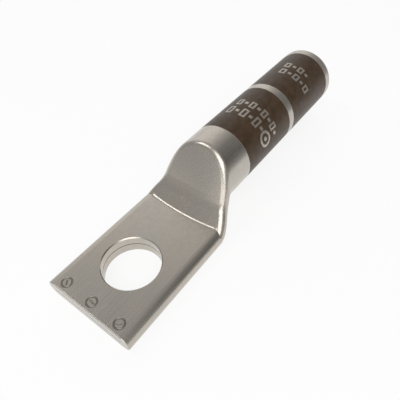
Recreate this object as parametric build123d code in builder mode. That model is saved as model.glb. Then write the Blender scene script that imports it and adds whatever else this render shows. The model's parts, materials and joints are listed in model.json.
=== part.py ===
from build123d import *
from math import atan2, cos, pi, radians, sin, sqrt, tan
import os

# A long barrel compression lug, formed from one length of copper tube: one end is
# pressed flat into a pad with a stud hole, the other stays round to take the cable.
# Lengths are in millimetres and slopes in degrees. X runs from the stud hole to the
# mouth of the barrel, Z is up, and the origin is the stud hole's centre on the
# underside of the pad.

# The tube
tube_diameter = 10.7
wall = 1.4

# The pad
seam_gap = 0.1
pad_spread = 0.1
hole_diameter = 8.55
hole_to_end = 8.7
hole_to_crease = 11.0
end_edge_radius = 0.12
hole_edge_chamfer = 0.15

# The neck, whose ramp starts at the crease at the foot's slope, bends up to meet the
# crest of the barrel, and is slightly crowned across its width
ramp_run = 6.5
foot_run = 2.6
foot_slope = 40.0
bend_radius = 6.0
crown_radius = 60.0
shoulder_height = 4.4
rim_radius = 1.0
neck_lead = 1.6

# The barrel
barrel_lift = 1.45
barrel_length = 33.15
mouth_chamfer = 0.3
bore_chamfer = 0.5

# How finely the neck is lofted, how wide its flat underside starts, how its ramp runs
# out inside the pad, how wide its crown is cut, and how far the pad tucks into it
neck_steps = 8
lead_steps = 2
foot_steps = 3
keel_angle = 0.01
run_out = 3.75
run_out_dip = 0.2
run_out_radius = 0.8
crown_turn = 20.0
crease_tuck = 0.2

# Sizes that follow from those
tube_radius = tube_diameter / 2
bore_radius = tube_radius - wall
pad_thickness = 2 * wall + seam_gap
tube_girth = pi * (tube_diameter - wall)
pad_width = (tube_girth - pi * wall) / 2 + 2 * wall + pad_spread
seam_width = pad_width - 2 * wall
axis_height = barrel_lift + tube_radius
ramp_end = hole_to_crease + ramp_run
neck_end = ramp_end + neck_lead
mouth = ramp_end + barrel_length
overcut = 2 * tube_diameter

# The rise and slopes of the ramp, and how far the crown bows its crease
foot_angle = radians(foot_slope)
foot_rise = foot_run * tan(foot_angle)
ramp_rise = axis_height + tube_radius - pad_thickness
ramp_angle = atan2(ramp_rise - foot_rise, ramp_run - foot_run)
ramp_turn = ramp_angle - foot_angle
crease_radius = crown_radius * sin(foot_angle)
crease_bow = crease_radius - sqrt(crease_radius**2 - (pad_width / 2) ** 2)


def section_plane(x):
    """A plane across the tube at x, with its own x along Y and its own y along Z."""
    return Plane(origin=(x, 0, 0), x_dir=(0, 1, 0), z_dir=(1, 0, 0))


def neck_section(x, flatness, inset):
    """One section of the neck, from the round tube (0) to the pad (1).

    Its lower half is a flat between two round corners and its upper half is half an
    ellipse, tall enough for the ramp to be cut from it. The inset moves it inwards.
    """
    half_width = tube_radius + (pad_width / 2 - tube_radius) * flatness - inset
    middle = axis_height + (pad_thickness / 2 - axis_height) * flatness
    crown = tube_radius + (shoulder_height - tube_radius) * flatness - inset
    corner = middle - barrel_lift * (1 - flatness) - inset
    if flatness > 0:
        flat = half_width - corner
        keel = Line((-flat, middle - corner), (flat, middle - corner))
    else:
        flat = 0
        keel_x = corner * sin(keel_angle)
        keel_y = middle - corner * cos(keel_angle)
        keel = ThreePointArc((-keel_x, keel_y), (0, middle - corner), (keel_x, keel_y))
    slant = corner * sin(pi / 4)
    right = ThreePointArc(keel @ 1, (flat + slant, middle - slant), (half_width, middle))
    top = EllipticalCenterArc((0, middle), half_width, crown, start_angle=0, arc_size=180)
    left = ThreePointArc((-half_width, middle), (-flat - slant, middle - slant), keel @ 0)
    return section_plane(x) * Face(Wire([keel, right, top, left]))


def neck_sections(inset):
    """Sections from inside the pad, through the flare, to the barrel."""
    sections = []
    for step in range(foot_steps):
        before = run_out * (1 - step / foot_steps)
        sections.append(neck_section(hole_to_crease - before, 1, inset))
    for step in range(neck_steps + 1):
        part_way = step / neck_steps
        eased = part_way * part_way * (3 - 2 * part_way)
        sections.append(neck_section(hole_to_crease + ramp_run * part_way, 1 - eased, inset))
    for step in range(lead_steps):
        lead = neck_lead * (step + 1) / lead_steps
        sections.append(neck_section(ramp_end + lead, 0, inset))
    return sections


# Where the ramp bends, and the axis of its crown, which lies along the upper slope
bend = Vector(hole_to_crease + foot_run, 0, pad_thickness + foot_rise)
up_ramp = Vector(cos(ramp_angle), 0, sin(ramp_angle))
off_ramp = Vector(-sin(ramp_angle), 0, cos(ramp_angle))
crown_axis = Axis(bend - off_ramp * crown_radius, up_ramp)


def under_ramp(depth):
    """The middle outline of all that lies under the ramp, or that deep under it.

    Its own x runs up the upper slope from the bend and its own y off the ramp. The ramp
    starts level, just inside the pad, and is left turned to one side of its crown.
    """
    foot_length = foot_run / cos(foot_angle) + run_out_dip / sin(foot_angle)
    foot = (-foot_length * cos(ramp_turn), foot_length * sin(ramp_turn))
    start = (foot[0] - overcut * cos(ramp_angle), foot[1] + overcut * sin(ramp_angle))
    end = (overcut, 0)
    base = -crown_radius / 2
    with BuildSketch(Plane(origin=bend, x_dir=up_ramp, z_dir=(0, -1, 0))) as outline:
        with BuildLine():
            FilletPolyline(start, foot, (0, 0), end, radius=(run_out_radius, bend_radius))
            Polyline(end, (end[0], base), (start[0], base), start)
        make_face()
        if depth > 0:
            offset(amount=-depth)
    return outline.sketch.rotate(crown_axis, -crown_turn)


outer_sections = neck_sections(0)
inner_sections = neck_sections(wall)
outer_ramp = under_ramp(0)
inner_ramp = under_ramp(wall)

# The outside of the neck, with the ramp that the press leaves and its rounded rim
with BuildPart() as neck:
    loft(outer_sections)
    revolve(outer_ramp, axis=crown_axis, revolution_arc=2 * crown_turn, mode=Mode.INTERSECT)
    ramp_faces = neck.faces().filter_by(GeomType.BSPLINE, reverse=True)
    ramp_faces = ramp_faces.filter_by(GeomType.PLANE, reverse=True)
    rim = ramp_faces.edges().filter_by(GeomType.BSPLINE)
    fillet(rim, rim_radius)
    split(bisect_by=section_plane(hole_to_crease), keep=Keep.TOP)

# The hollow of the neck, one wall inside it, which closes to the seam under the crease
with BuildPart() as hollow:
    loft(inner_sections)
    revolve(inner_ramp, axis=crown_axis, revolution_arc=2 * crown_turn, mode=Mode.INTERSECT)
    split(bisect_by=section_plane(hole_to_crease), keep=Keep.TOP)

with BuildPart() as lug:
    # The pad, whose sides are the folded walls of the tube
    with BuildSketch(section_plane(-hole_to_end)):
        with Locations((0, pad_thickness / 2)):
            SlotOverall(pad_width, pad_thickness)
    extrude(amount=hole_to_end + hole_to_crease)
    free_end = lug.faces().sort_by(Axis.X)[0]
    fillet(free_end.edges(), end_edge_radius)

    # The top of the pad goes on into the neck as far as the crease bows
    with BuildSketch(section_plane(hole_to_crease)):
        with Locations((0, (pad_thickness + crease_tuck) / 2)):
            SlotOverall(pad_width - 2 * crease_tuck, pad_thickness - crease_tuck)
    extrude(amount=crease_bow)

    # The barrel
    with BuildSketch(section_plane(neck_end)):
        with Locations((0, axis_height)):
            Circle(tube_radius)
    extrude(amount=mouth - neck_end)
    mouth_face = lug.faces().sort_by(Axis.X)[-1]
    chamfer(mouth_face.edges(), mouth_chamfer)

    add(neck.part)

    # The bore, with a lead for the strands at its mouth
    with BuildSketch(section_plane(neck_end)):
        with Locations((0, axis_height)):
            Circle(bore_radius)
    extrude(amount=mouth - neck_end, mode=Mode.SUBTRACT)
    bore_mouth = lug.faces().sort_by(Axis.X)[-1].inner_wires()[0]
    chamfer(bore_mouth.edges(), bore_chamfer)
    add(hollow.part, mode=Mode.SUBTRACT)

    # The seam where the two walls of the tube meet
    with BuildSketch(section_plane(-hole_to_end)):
        with Locations((0, pad_thickness / 2)):
            Rectangle(seam_width, seam_gap)
    extrude(amount=hole_to_end + hole_to_crease + crease_bow, mode=Mode.SUBTRACT)

    # The stud hole, punched from above through both walls, with its upper edge broken
    with BuildSketch(Plane.XY):
        Circle(hole_diameter / 2)
    extrude(amount=pad_thickness, mode=Mode.SUBTRACT)
    hole_edges = lug.edges().filter_by(GeomType.CIRCLE).filter_by_position(
        Axis.X, -hole_diameter, hole_diameter
    )
    chamfer(hole_edges.sort_by(Axis.Z)[-1], hole_edge_chamfer)

lug.part.label = "lug"
os.makedirs("parts", exist_ok=True)
export_step(lug.part, "parts/lug.step")
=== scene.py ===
import json
from math import cos, pi, radians, sin, sqrt, tan

import bmesh
import bpy
from mathutils import Matrix, Vector
from mathutils.bvhtree import BVHTree
from mathutils.geometry import barycentric_transform


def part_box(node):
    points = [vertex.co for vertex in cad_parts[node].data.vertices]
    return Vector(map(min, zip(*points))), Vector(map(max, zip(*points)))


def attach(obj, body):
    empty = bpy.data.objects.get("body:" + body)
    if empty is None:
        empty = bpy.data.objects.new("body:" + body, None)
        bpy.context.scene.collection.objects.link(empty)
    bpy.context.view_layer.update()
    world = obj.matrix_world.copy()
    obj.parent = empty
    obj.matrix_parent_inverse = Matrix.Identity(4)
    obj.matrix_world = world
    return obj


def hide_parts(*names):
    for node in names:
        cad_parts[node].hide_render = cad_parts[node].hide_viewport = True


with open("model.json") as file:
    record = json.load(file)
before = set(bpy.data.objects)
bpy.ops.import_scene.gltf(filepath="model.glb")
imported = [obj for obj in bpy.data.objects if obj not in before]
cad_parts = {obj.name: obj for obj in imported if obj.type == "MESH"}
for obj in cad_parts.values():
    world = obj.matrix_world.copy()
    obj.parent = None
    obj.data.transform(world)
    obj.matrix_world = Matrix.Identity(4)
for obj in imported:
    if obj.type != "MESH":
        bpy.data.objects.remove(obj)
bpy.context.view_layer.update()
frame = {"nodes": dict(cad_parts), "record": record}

# A tinned compression lug with two bands of ink round its barrel. Lengths are in
# millimetres, angles in degrees and colours linear. The origin is the stud hole's centre
# on the underside of the pad, X runs along the barrel to its mouth, and Z is up.
MM = 0.001

# The lug as the frame has it: its two ends, the height of its pad's top and of its
# barrel's axis, and the barrel's radius
LUG = frame["nodes"]["lug"]
MOUNTS = {mount["name"]: mount["pos_m"] for mount in frame["record"]["mounts"]}
END_X, MOUTH_X = (corner.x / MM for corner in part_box("lug"))
PAD_TOP = MOUNTS["pad_top"][2] / MM
AXIS_HEIGHT = MOUNTS["cable_bore"][2] / MM
TUBE_RADIUS = 5.35
SHARP_ANGLE = 30

# The camera, at the photograph's viewing angle: its place, its direction, which way is up,
# and its focal length in the photograph's pixels
PHOTO_SIDE = 400
SENSOR = 36.0
EYE = (-17.2, -27.23, 48.49)
LOOK = (0.5197, 0.4286, -0.739)
UP_HINT = (0.607, 0.4234, 0.6725)
FOCAL_PIXELS = 390.1
CLIP_START = 1.0

# Colours
TIN_WARM = (0.515, 0.470, 0.415)
TIN_COOL = (0.495, 0.462, 0.412)
TIN_DULL = (0.38, 0.347, 0.300)
# Painted shade for the grooves of the stamped marks
STAMP_PAINTED_SHADE = (0.235, 0.207, 0.172)
# Painted shade for the inside of the seam's gap
SEAM_PAINTED_SHADE = (0.05, 0.042, 0.034)
INK_DARK = (0.043, 0.023, 0.010)
INK_LIGHT = (0.065, 0.038, 0.019)
FLOOR_NEAR = (0.97, 0.97, 0.97)
FLOOR_FAR = (0.55, 0.55, 0.55)
GLOW_NEAR = (1.0, 1.0, 1.0)
GLOW_FAR = (0.52, 0.52, 0.52)
WHITE = (1.0, 1.0, 1.0)

# How much of each darker tone the tin takes where it is mottled and scratched, and how much
# painted shade it takes where it is stamped and inside the seam
MOTTLE_COVER = 0.20
SCRATCH_COVER = 0.06
STAMP_SHADE_COVER = 0.9
SEAM_SHADE_COVER = 0.8

# The tin's roughness between and on its drawing lines, and what its mottling, the ink, the
# unpolished bore and a stamped mark add to it
LINE_ROUGHNESS = (0.23, 0.27)
MOTTLE_ROUGHNESS = 0.04
INK_ROUGHNESS = 0.14
BORE_ROUGHNESS = 0.28
STAMP_ROUGHNESS = 0.12
SPECULAR_LEVEL = 0.30

# The bump: its height and strength, and the shares of it that the drawing lines, the grain
# and the ink have
BUMP_HEIGHT = 0.002
BUMP_STRENGTH = 0.13
LINE_BUMP = 0.5
GRAIN_BUMP = 0.5
INK_BUMP = 2.5

# Noise in the finish. A scale is in turns a millimetre, and a stretch multiplies it along
# X, Y and Z. A pattern has soft edges, from the first of its edges' two noise levels to the
# second, and runs from the first of its strengths to the second.
CLOUDS = {"scale": 0.16, "detail": 2.0, "edges": (0.35, 0.65)}
MOTTLE = {"scale": 1.3, "detail": 4.0, "edges": (0.35, 0.75)}
SCRATCHES = {"scale": 1.0, "detail": 2.0, "stretch": (0.5, 9.0, 9.0), "edges": (0.66, 0.72)}
INK_TONES = {"scale": 0.9, "detail": 4.0, "edges": (0.3, 0.7)}
INK_SPECKS = {"scale": 3.2, "detail": 2.0, "edges": (0.755, 0.80), "strengths": (0.0, 0.5)}
PRINT_WEAR = {"scale": 2.4, "detail": 3.0, "edges": (0.3, 0.7), "strengths": (0.62, 0.92)}
BAND_WANDER = {"scale": 1.6, "detail": 3.0}
GRAIN = {"scale": 1.4, "detail": 2.0}
DRAWN_LINES = {"scale": 1.0, "detail": 1.0, "stretch": (0.2, 4.0, 4.0)}
LINE_EDGES = (0.3, 0.7)

# The two ink bands, from the mouth, how soft their edges are and how far they wander. Ink
# lies only further from the barrel's axis than its inner radius.
BAND_EDGES = ((-28.65, -15.95), (-14.5, -1.75))
BAND_SOFTNESS = 0.10
BAND_UNEVENNESS = 0.16
INK_INNER_RADIUS = 5.0

# The rows of plain marks left bare in the ink: the row's place from the mouth and its
# height, both along the tube, where it starts (the arc's length from the crest towards +Y),
# and the pitch and count of its marks. Then the width of a box's line, the share of the
# pitch that a box is wide, half the side of a dot, and half the blur of a mark's edge.
ROWS = (
    (-23.45, 2.0, 2.5, 1.26, 6),
    (-20.95, 1.6, 2.2, 1.18, 8),
    (-9.05, 1.55, 1.1, 1.34, 5),
    (-6.75, 1.55, 1.3, 1.30, 4),
)
ROW_LINE = 0.30
BOX_SHARE = 0.84
DOT_HALF_SIDE = 0.30
MARK_SOFTNESS = 0.07

# The plain ring with a dot, left bare too: its place from the mouth and round the tube
RING_PLACE = (-23.6, -6.25)
RING_RADIUS = 1.12
RING_LINE = 0.42
RING_DOT_RADIUS = 0.35

# The bore is what lies this near to the barrel's axis, from here to the mouth
BORE_REACH = 4.4
BORE_FROM = 17.3

# The seam between the pad's two layers, from the free end to its closed end in the neck,
# whose gap is darkened with painted shade
SEAM_HALF_GAP = 0.055
SEAM_HALF_WIDTH = 6.3
SEAM_END = 11.4

# The marks stamped in the pad: how far they are from its free end, the place across the pad
# and the turn of the bar for each, the radius of the ring, half the length of the bar, the
# radius of the round edge that pressed them, and how deep it went in
STAMP_FROM_END = 1.3
STAMPS = ((4.9, 35), (0.0, 80), (-5.05, 125))
STAMP_RADIUS = 0.72
STAMP_BAR = 0.36
STAMP_LINE_RADIUS = 0.15
STAMP_DEPTH = 0.07

# The small hollow rounding along the crease between the pad and the ramp. Its width is what
# it takes of each of the two. It widens at the ends, by this power of the distance from the
# middle. Past them it runs over the pad's round side and narrows as an ellipse does, to an
# end that is blunt by this share. All of it is sunk by a hair.
CREASE_SLOPE = 40
CREASE_WIDTH = 0.30
CREASE_END_WIDTH = 0.46
CREASE_WIDENING = 6
CREASE_OVERRUN = 0.45
CREASE_BLUNTNESS = 0.02
CREASE_SINK = 0.004
CREASE_STEPS = 48
CREASE_ARC_STEPS = 8

# How the pad's flat top is told from the rest of the lug's mesh: how nearly level a face
# has to be, how near to the pad's height, and how near a corner has to be to the middle
LEVEL_NORMAL = 0.9999
SAME_HEIGHT = 0.001
NEAR_MIDDLE = 0.01

# The floor: half its side, its depth under the lug, the middle of what the camera sees of
# it, and the distances from there between which its white fades to the studio's grey. Of
# what the camera and the metal see of it, this share is an even glow, and the rest is lit.
FLOOR_HALF_SIDE = 1000.0
FLOOR_DROP = 0.02
FLOOR_MIDDLE = (45.0, 25.0, 0.0)
FLOOR_FADE = (90.0, 320.0)
FLOOR_GLOW = 0.86

# The studio's plain level, and the soft sides of it that are lighter or darker: the way to
# each, how far round that way it is whole, where it has faded, and what it adds
STUDIO_LEVEL = 0.49
STUDIO_SIDES = (
    ((0.5, -0.50, 0.62), 8, 38, -0.26),
    ((0.62, 0.68, 0.38), 10, 42, 0.50),
    ((-0.25, 0.48, 0.84), 10, 50, -0.08),
    ((0.51, -0.82, 0.15), 5, 35, -0.14),
)

# The lamps are soft boxes that face this point: the way to each, its distance, its width
# and height, its radiance, and the way its height runs
LAMP_TARGET = (14.0, 0.0, 5.0)
LAMPS = {
    "overhead": ((-0.27, 0.48, 0.83), 350, (100, 170), 3.1, (0, 1, 0)),
    "front": ((-0.89, -0.43, 0.16), 300, (460, 120), 1.25, (0, 0, 1)),
    "fill": ((-0.5, -0.42, 0.75), 600, (500, 500), 2.1, (0, 1, 0)),
}

# Where a Mix node has its two inputs and its output, by the kind of data
MIX_SOCKETS = {"FLOAT": (2, 3, 0), "RGBA": (6, 7, 2)}


def link(thing):
    """Puts an object in the scene."""
    bpy.context.scene.collection.objects.link(thing)
    return thing


def aim(thing, place, look, up_hint):
    """Puts a camera or lamp at a place in metres, looking along a direction."""
    back = -Vector(look).normalized()
    right = Vector(up_hint).cross(back).normalized()
    up = back.cross(right)
    turn = Matrix((right, up, back)).transposed().to_4x4()
    thing.matrix_world = Matrix.Translation(place) @ turn


class Shader:
    """Builds the nodes of one material or world by short calls."""

    def __init__(self, owner):
        owner.use_nodes = True
        self.links = owner.node_tree.links
        self.nodes = owner.node_tree.nodes

    def put(self, kind, inputs, **settings):
        """A new node with its settings, and with its inputs set or linked."""
        node = self.nodes.new(kind)
        for name, value in settings.items():
            setattr(node, name, value)
        for name, value in inputs.items():
            self.set(node.inputs[name], value)
        return node

    def set(self, socket, value):
        """Gives a socket a value, a colour or the output of another node."""
        if isinstance(value, bpy.types.NodeSocket):
            self.links.new(value, socket)
        elif socket.type == "RGBA":
            socket.default_value = (*value, 1)
        else:
            socket.default_value = value

    def math(self, operation, *values):
        node = self.put("ShaderNodeMath", dict(enumerate(values)), operation=operation)
        return node.outputs[0]

    def chain(self, operation, first, *others):
        """Takes any number of values into one, by one operation after another."""
        for other in others:
            first = self.math(operation, first, other)
        return first

    def hypotenuse(self, first, second):
        squares = [self.math("POWER", side, 2.0) for side in (first, second)]
        return self.math("SQRT", self.math("ADD", *squares))

    def vector_math(self, operation, first, second, output="Vector"):
        node = self.put("ShaderNodeVectorMath", {0: first, 1: second}, operation=operation)
        return node.outputs[output]

    def mix(self, factor, first, second, kind="RGBA"):
        """A colour or a number, from the first to the second as the factor grows."""
        first_socket, second_socket, output = MIX_SOCKETS[kind]
        inputs = {"Factor": factor, first_socket: first, second_socket: second}
        return self.put("ShaderNodeMix", inputs, data_type=kind).outputs[output]

    def ramp(self, value, low, high, start=0.0, end=1.0):
        """Runs smoothly from start to end as the value goes from low to high."""
        inputs = {"Value": value, "From Min": low, "From Max": high, "To Min": start, "To Max": end}
        node = self.put("ShaderNodeMapRange", inputs, interpolation_type="SMOOTHSTEP")
        return node.outputs["Result"]

    def noise(self, place, scale, detail, stretch=None):
        if stretch:
            place = self.vector_math("MULTIPLY", place, stretch)
        inputs = {"Vector": place, "Scale": scale, "Detail": detail}
        return self.put("ShaderNodeTexNoise", inputs).outputs[0]

    def pattern(self, place, edges, strengths=(0.0, 1.0), **noise):
        """Noise whose low and high parts are drawn apart."""
        return self.ramp(self.noise(place, **noise), *edges, *strengths)

    def millimetres(self):
        """The place on the piece in millimetres."""
        place = self.put("ShaderNodeTexCoord", {}).outputs["Object"]
        return self.vector_math("MULTIPLY", place, (1 / MM, 1 / MM, 1 / MM))


def mark(shader, outside):
    """1 inside a mark and 0 outside it, from the distance outside its edge."""
    return shader.ramp(outside, MARK_SOFTNESS, -MARK_SOFTNESS)


def box_line(shader, along, across, half_height, half_width):
    """The distance outside the line round a box, which is less than zero on the line."""
    over_height = shader.math("SUBTRACT", shader.math("ABSOLUTE", along), half_height)
    over_width = shader.math("SUBTRACT", shader.math("ABSOLUTE", across), half_width)
    outside_box = shader.math("MAXIMUM", over_width, over_height)
    off_line = shader.math("ABSOLUTE", shader.math("ADD", outside_box, ROW_LINE / 2))
    return shader.math("SUBTRACT", off_line, ROW_LINE / 2)


def print_row(shader, from_mouth, arc, place, height, first, pitch, count):
    """A row of plain marks round the tube: open boxes and square dots by turns."""
    steps = shader.math("DIVIDE", shader.math("SUBTRACT", first, arc), pitch)
    off_centre = shader.math("SUBTRACT", shader.math("FRACT", steps), 0.5)
    across = shader.math("MULTIPLY", off_centre, pitch)
    along = shader.math("SUBTRACT", from_mouth, place)
    box = box_line(shader, along, across, height / 2, BOX_SHARE * pitch / 2)
    off_dot = shader.math("MAXIMUM", shader.math("ABSOLUTE", along), shader.math("ABSOLUTE", across))
    dot = shader.math("SUBTRACT", off_dot, DOT_HALF_SIDE)
    odd = shader.math("PINGPONG", shader.math("FLOOR", steps), 1.0)
    begun = shader.math("GREATER_THAN", steps, 0.0)
    not_ended = shader.math("LESS_THAN", steps, float(count))
    marks = mark(shader, shader.mix(odd, box, dot, kind="FLOAT"))
    return shader.chain("MULTIPLY", marks, begun, not_ended)


def print_ring(shader, from_mouth, arc):
    """A plain ring with a dot at its middle."""
    along = shader.math("SUBTRACT", from_mouth, RING_PLACE[0])
    across = shader.math("SUBTRACT", arc, RING_PLACE[1])
    reach = shader.hypotenuse(along, across)
    off_ring = shader.math("ABSOLUTE", shader.math("SUBTRACT", reach, RING_RADIUS))
    ring = mark(shader, shader.math("SUBTRACT", off_ring, RING_LINE / 2))
    dot = mark(shader, shader.math("SUBTRACT", reach, RING_DOT_RADIUS))
    return shader.math("MAXIMUM", ring, dot)


def ink_cover(shader, place, x, radius, arc):
    """How much ink lies here: both bands, less the marks and specks left bare in them."""
    from_mouth = shader.math("SUBTRACT", x, MOUTH_X)
    wander = shader.math("SUBTRACT", shader.noise(place, **BAND_WANDER), 0.5)
    wander = shader.math("MULTIPLY", wander, BAND_UNEVENNESS)
    edge_place = shader.math("ADD", from_mouth, wander)
    bands = []
    for start, end in BAND_EDGES:
        begun = shader.ramp(edge_place, start - BAND_SOFTNESS, start + BAND_SOFTNESS)
        not_ended = shader.ramp(edge_place, end + BAND_SOFTNESS, end - BAND_SOFTNESS)
        bands.append(shader.math("MULTIPLY", begun, not_ended))
    cover = shader.chain("MAXIMUM", *bands)
    on_outside = shader.math("GREATER_THAN", radius, INK_INNER_RADIUS)

    rows = [print_row(shader, from_mouth, arc, *row) for row in ROWS]
    marks = shader.chain("MAXIMUM", print_ring(shader, from_mouth, arc), *rows)
    marks = shader.math("MULTIPLY", marks, shader.pattern(place, **PRINT_WEAR))
    bare = shader.math("MAXIMUM", marks, shader.pattern(place, **INK_SPECKS))
    return shader.chain("MULTIPLY", cover, on_outside, shader.math("SUBTRACT", 1.0, bare))


def seam_shade_cover(shader, x, y, z):
    """Painted shade: how much the gap of the seam between the pad's two layers darkens the tin."""
    off_seam = shader.math("ABSOLUTE", shader.math("SUBTRACT", z, PAD_TOP / 2))
    in_gap = shader.math("LESS_THAN", off_seam, SEAM_HALF_GAP)
    in_width = shader.math("LESS_THAN", shader.math("ABSOLUTE", y), SEAM_HALF_WIDTH)
    in_length = shader.math("LESS_THAN", x, SEAM_END)
    return shader.chain("MULTIPLY", in_gap, in_width, in_length, SEAM_SHADE_COVER)


def tin_tone(shader, place, mottle, seam, stamped):
    """The tin's colour: clouds, darker tones where it is mottled or scratched, and painted shade
    where it is stamped and in the seam.
    """
    scratches = shader.pattern(place, **SCRATCHES)
    tone = shader.mix(shader.pattern(place, **CLOUDS), TIN_COOL, TIN_WARM)
    tone = shader.mix(shader.math("MULTIPLY", mottle, MOTTLE_COVER), tone, TIN_DULL)
    tone = shader.mix(shader.math("MULTIPLY", scratches, SCRATCH_COVER), tone, TIN_DULL)
    if stamped:
        # Painted shade in the stamped grooves
        tone = shader.mix(STAMP_SHADE_COVER, tone, STAMP_PAINTED_SHADE)
    # Painted shade inside the seam's gap
    return shader.mix(seam, tone, SEAM_PAINTED_SHADE)


def tin_material(name, stamped=False):
    """Satin tin plating, with drawing lines, faint mottling, painted shade in the seam and, for
    stamped marks, in their grooves, and the ink bands over it.
    """
    material = bpy.data.materials.new(name)
    shader = Shader(material)
    surface = shader.nodes["Principled BSDF"]
    place = shader.millimetres()
    x, y, z = shader.put("ShaderNodeSeparateXYZ", {0: place}).outputs
    rise = shader.math("SUBTRACT", z, AXIS_HEIGHT)
    radius = shader.hypotenuse(y, rise)
    arc = shader.math("MULTIPLY", shader.math("ARCTAN2", y, rise), TUBE_RADIUS)
    lines = shader.noise(place, **DRAWN_LINES)
    mottle = shader.pattern(place, **MOTTLE)
    ink = ink_cover(shader, place, x, radius, arc)

    tone = tin_tone(shader, place, mottle, seam_shade_cover(shader, x, y, z), stamped)
    ink_tone = shader.mix(shader.pattern(place, **INK_TONES), INK_DARK, INK_LIGHT)
    shader.set(surface.inputs["Base Color"], shader.mix(ink, tone, ink_tone))
    shader.set(surface.inputs["Metallic"], shader.math("SUBTRACT", 1.0, ink))
    shader.set(surface.inputs["Specular IOR Level"], SPECULAR_LEVEL)

    near_axis = shader.math("LESS_THAN", radius, BORE_REACH)
    in_bore = shader.math("MULTIPLY", near_axis, shader.math("GREATER_THAN", x, BORE_FROM))
    roughness = shader.chain(
        "ADD",
        shader.ramp(lines, *LINE_EDGES, *LINE_ROUGHNESS),
        shader.math("MULTIPLY", mottle, MOTTLE_ROUGHNESS),
        shader.math("MULTIPLY", ink, INK_ROUGHNESS),
        shader.math("MULTIPLY", in_bore, BORE_ROUGHNESS),
    )
    if stamped:
        roughness = shader.math("ADD", roughness, STAMP_ROUGHNESS)
    shader.set(surface.inputs["Roughness"], roughness)

    height = shader.chain(
        "ADD",
        shader.math("MULTIPLY", lines, LINE_BUMP),
        shader.math("MULTIPLY", shader.noise(place, **GRAIN), GRAIN_BUMP),
        shader.math("MULTIPLY", ink, INK_BUMP),
    )
    inputs = {"Height": height, "Strength": BUMP_STRENGTH, "Distance": BUMP_HEIGHT * MM}
    bump = shader.put("ShaderNodeBump", inputs)
    shader.set(surface.inputs["Normal"], bump.outputs[0])
    return material


def make_camera():
    data = bpy.data.cameras.new("camera")
    data.sensor_width = SENSOR
    data.lens = FOCAL_PIXELS * SENSOR / PHOTO_SIDE
    data.clip_start = CLIP_START * MM
    camera = link(bpy.data.objects.new("camera", data))
    aim(camera, Vector(EYE) * MM, LOOK, UP_HINT)
    bpy.context.scene.camera = camera


def floor_material():
    """White paint, with an even glow for the camera and the metal, which greys far out."""
    paint = bpy.data.materials.new("floor_paint")
    paint.cycles.emission_sampling = "NONE"
    shader = Shader(paint)
    reach = shader.vector_math("DISTANCE", shader.millimetres(), FLOOR_MIDDLE, output="Value")
    fade_start, fade_end = FLOOR_FADE
    near = shader.ramp(reach, fade_end, fade_start)
    surface = shader.nodes["Principled BSDF"]
    shader.set(surface.inputs["Base Color"], shader.mix(near, FLOOR_FAR, FLOOR_NEAR))
    shader.set(surface.inputs["Roughness"], 1.0)
    shader.set(surface.inputs["Specular IOR Level"], 0.0)
    glow_colour = shader.mix(near, GLOW_FAR, GLOW_NEAR)
    glow = shader.put("ShaderNodeEmission", {"Color": glow_colour, "Strength": 1.0})
    rays = shader.put("ShaderNodeLightPath", {}).outputs
    seen = [rays[kind] for kind in ("Is Camera Ray", "Is Glossy Ray", "Is Transmission Ray")]
    share = shader.math("MULTIPLY", shader.chain("MAXIMUM", *seen), FLOOR_GLOW)
    inputs = {0: share, 1: surface.outputs[0], 2: glow.outputs[0]}
    both = shader.put("ShaderNodeMixShader", inputs)
    shader.set(shader.nodes["Material Output"].inputs["Surface"], both.outputs[0])
    return paint


def make_floor():
    """A plain floor, which keeps a light shadow of the lug."""
    mesh = bpy.data.meshes.new("floor")
    side, low = FLOOR_HALF_SIDE * MM, -FLOOR_DROP * MM
    corners = [(-side, -side, low), (side, -side, low), (side, side, low), (-side, side, low)]
    mesh.from_pydata(corners, [], [(0, 1, 2, 3)])
    mesh.materials.append(floor_material())
    floor = link(bpy.data.objects.new("floor", mesh))


def make_world():
    """A grey studio with soft light and dark sides, which show a bright metal's form."""
    world = bpy.data.worlds.new("studio")
    bpy.context.scene.world = world
    shader = Shader(world)
    view = shader.put("ShaderNodeTexCoord", {}).outputs["Generated"]
    gains = []
    for direction, whole, faded, gain in STUDIO_SIDES:
        toward = Vector(direction).normalized()
        nearness = shader.vector_math("DOT_PRODUCT", view, toward, output="Value")
        side = shader.ramp(nearness, cos(radians(faded)), cos(radians(whole)))
        gains.append(shader.math("MULTIPLY", side, gain))
    background = shader.nodes["Background"]
    shader.set(background.inputs["Color"], WHITE)
    shader.set(background.inputs["Strength"], shader.chain("ADD", STUDIO_LEVEL, *gains))


def make_lamp(name, direction, distance, size, radiance, up_hint):
    """A soft box that far away in that direction, as bright as that radiance."""
    width, height = size[0] * MM, size[1] * MM
    data = bpy.data.lights.new(name, "AREA")
    data.shape = "RECTANGLE"
    data.size, data.size_y = width, height
    data.energy = radiance * pi * width * height
    lamp = link(bpy.data.objects.new(name, data))
    toward = Vector(direction).normalized()
    aim(lamp, (Vector(LAMP_TARGET) + toward * distance) * MM, -toward, up_hint)


def join_mesh(name, parts, material):
    """One piece from several lists of points, in millimetres, and faces."""
    build = bmesh.new()
    for points, faces in parts:
        corners = [build.verts.new(point * MM) for point in points]
        for face in faces:
            build.faces.new([corners[i] for i in face])
    bmesh.ops.recalc_face_normals(build, faces=build.faces)
    for face in build.faces:
        face.smooth = True
    mesh = bpy.data.meshes.new(name)
    build.to_mesh(mesh)
    build.free()
    mesh.set_sharp_from_angle(angle=radians(SHARP_ANGLE))
    mesh.materials.append(material)
    return link(bpy.data.objects.new(name, mesh))


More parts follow.
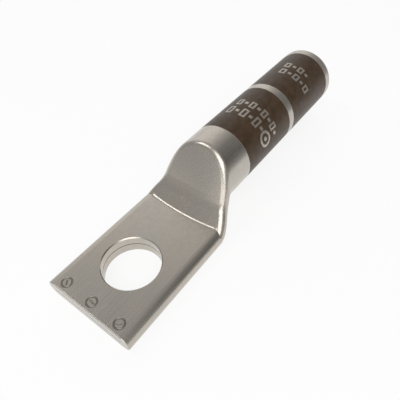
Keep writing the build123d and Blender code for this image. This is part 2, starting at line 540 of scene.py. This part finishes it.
def tube_ring(centre, radius, line_radius, sides=40, rounds=10):
    """A torus lying flat, as points and faces."""
    points, faces = [], []
    for side in range(sides):
        turn = 2 * pi * side / sides
        outward = Vector((cos(turn), sin(turn), 0))
        for step in range(rounds):
            tilt = 2 * pi * step / rounds
            reach = outward * (radius + line_radius * cos(tilt))
            points.append(centre + reach + Vector((0, 0, line_radius * sin(tilt))))
    for side in range(sides):
        near, far = side * rounds, (side + 1) % sides * rounds
        for step in range(rounds):
            after = (step + 1) % rounds
            faces.append((near + step, near + after, far + after, far + step))
    return points, faces


def tube_bar(centre, half_length, line_radius, turn, rounds=10, caps=5):
    """A round-ended bar lying flat, as points and faces."""
    along = Vector((cos(turn), sin(turn), 0))
    across = Vector((-sin(turn), cos(turn), 0))
    leans = [pi / 2 * (step + 1) / (caps + 1) for step in range(caps)]
    near_rings = [(-half_length - line_radius * cos(lean), line_radius * sin(lean)) for lean in leans]
    far_rings = [(-place, size) for place, size in reversed(near_rings)]
    rings = near_rings + far_rings
    points = [centre - along * (half_length + line_radius)]
    for place, size in rings:
        for step in range(rounds):
            tilt = 2 * pi * step / rounds
            offset = across * size * cos(tilt) + Vector((0, 0, size * sin(tilt)))
            points.append(centre + along * place + offset)
    points.append(centre + along * (half_length + line_radius))
    last = len(points) - 1
    faces = []
    for step in range(rounds):
        after = (step + 1) % rounds
        faces.append((0, 1 + after, 1 + step))
        for ring in range(len(rings) - 1):
            near, far = 1 + ring * rounds, 1 + (ring + 1) * rounds
            faces.append((near + step, near + after, far + after, far + step))
        faces.append((last - rounds + step, last - rounds + after, last))
    return points, faces


def carry_normals(mesh, source):
    """Gives a cut copy of the mesh the source's own normals, apart from what was cut."""
    corners = [vertex.co for vertex in source.vertices]
    tree = BVHTree.FromPolygons(corners, [face.vertices for face in source.polygons])
    mesh.set_sharp_from_angle(angle=radians(SHARP_ANGLE))
    normals = [Vector() for _ in mesh.loops]
    for face in mesh.polygons:
        if face.material_index == 0:
            origin = source.polygons[tree.find_nearest(face.center)[2]]
            places = [source.vertices[i].co for i in origin.vertices]
            facing = [source.corner_normals[i].vector for i in origin.loop_indices]
            for i in face.loop_indices:
                place = mesh.vertices[mesh.loops[i].vertex_index].co
                normals[i] = barycentric_transform(place, *places, *facing).normalized()
    mesh.normals_split_custom_set(normals)


def stamped_lug(tin, stamp):
    """The lug with its stamped marks cut in the pad, which stands for the CAD node."""
    parts = []
    for y, turn in STAMPS:
        height = PAD_TOP + STAMP_LINE_RADIUS - STAMP_DEPTH
        centre = Vector((END_X + STAMP_FROM_END, y, height))
        parts.append(tube_ring(centre, STAMP_RADIUS, STAMP_LINE_RADIUS))
        parts.append(tube_bar(centre, STAMP_BAR, STAMP_LINE_RADIUS, radians(turn)))
    cutter = join_mesh("stamps", parts, stamp)
    piece = link(bpy.data.objects.new("stamped_lug", LUG.data.copy()))
    piece.data.materials.clear()
    piece.data.materials.append(tin)
    piece.data.materials.append(stamp)
    cut = piece.modifiers.new("cut", "BOOLEAN")
    cut.object = cutter
    cut.operation = "DIFFERENCE"
    cut.solver = "EXACT"
    cut.use_self = True
    cut.material_mode = "TRANSFER"
    evaluated = piece.evaluated_get(bpy.context.evaluated_depsgraph_get())
    shaped = bpy.data.meshes.new_from_object(evaluated)
    piece.modifiers.clear()
    piece.data = shaped
    bpy.data.objects.remove(cutter)
    carry_normals(shaped, LUG.data)
    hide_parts("lug")
    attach(piece, "root")


def crease_ends():
    """Where the crease lies: how far along its middle is, and its end on the pad's edge."""
    corners = []
    for face in LUG.data.polygons:
        if face.normal.z > LEVEL_NORMAL and abs(face.center.z / MM - PAD_TOP) < SAME_HEIGHT:
            corners += [LUG.data.vertices[i].co / MM for i in face.vertices]
    middle = max(corner.x for corner in corners if abs(corner.y) < NEAR_MIDDLE)
    end = max(corners, key=lambda corner: (round(corner.x, 3), corner.y))
    return middle, end


def crease_section(y, middle, end):
    """A section of the rounding: its arc from the pad to the ramp, and a point below it."""
    outward = min(abs(y), end.y) / end.y
    past = max(0.0, abs(y) - end.y)
    side_radius = PAD_TOP / 2
    x = middle + (end.x - middle) * outward**2
    z = PAD_TOP - side_radius + sqrt(side_radius**2 - past**2)
    width = CREASE_WIDTH + (CREASE_END_WIDTH - CREASE_WIDTH) * outward**CREASE_WIDENING
    width = width * sqrt(max(CREASE_BLUNTNESS, 1 - (past / CREASE_OVERRUN) ** 2))
    radius = width / tan(radians(CREASE_SLOPE) / 2)
    section = []
    for step in range(CREASE_ARC_STEPS + 1):
        lean = radians(CREASE_SLOPE) * step / CREASE_ARC_STEPS
        along = x - width + radius * sin(lean)
        section.append(Vector((along, y, z + radius * (1 - cos(lean)) - CREASE_SINK)))
    section.append(Vector((x + width / 2, y, z - width)))
    return section


def crease_fillet(tin):
    """The hollow rounding where the ramp leaves the pad, bowed as the crease is."""
    middle, end = crease_ends()
    reach = end.y + CREASE_OVERRUN
    points = []
    for step in range(CREASE_STEPS + 1):
        points += crease_section(reach * (2 * step / CREASE_STEPS - 1), middle, end)
    count = len(points) // (CREASE_STEPS + 1)
    faces = []
    for step in range(CREASE_STEPS):
        near, far = step * count, (step + 1) * count
        for part in range(count):
            after = (part + 1) % count
            faces.append((near + part, near + after, far + after, far + part))
    faces.append(tuple(range(count)))
    faces.append(tuple(range(CREASE_STEPS * count, len(points))))
    piece = join_mesh("crease_fillet", [(points, faces)], tin)
    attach(piece, "root")


make_camera()
make_floor()
make_world()
for lamp_name, lamp in LAMPS.items():
    make_lamp(lamp_name, *lamp)

tin = tin_material("tinned_copper_look")
# The stamped grooves take a copy of the tin that is darkened with painted shade
stamp = tin_material("stamped_copper_painted_shade_look", stamped=True)
stamped_lug(tin, stamp)
crease_fillet(tin)

bpy.context.scene.view_settings.view_transform = "Standard"
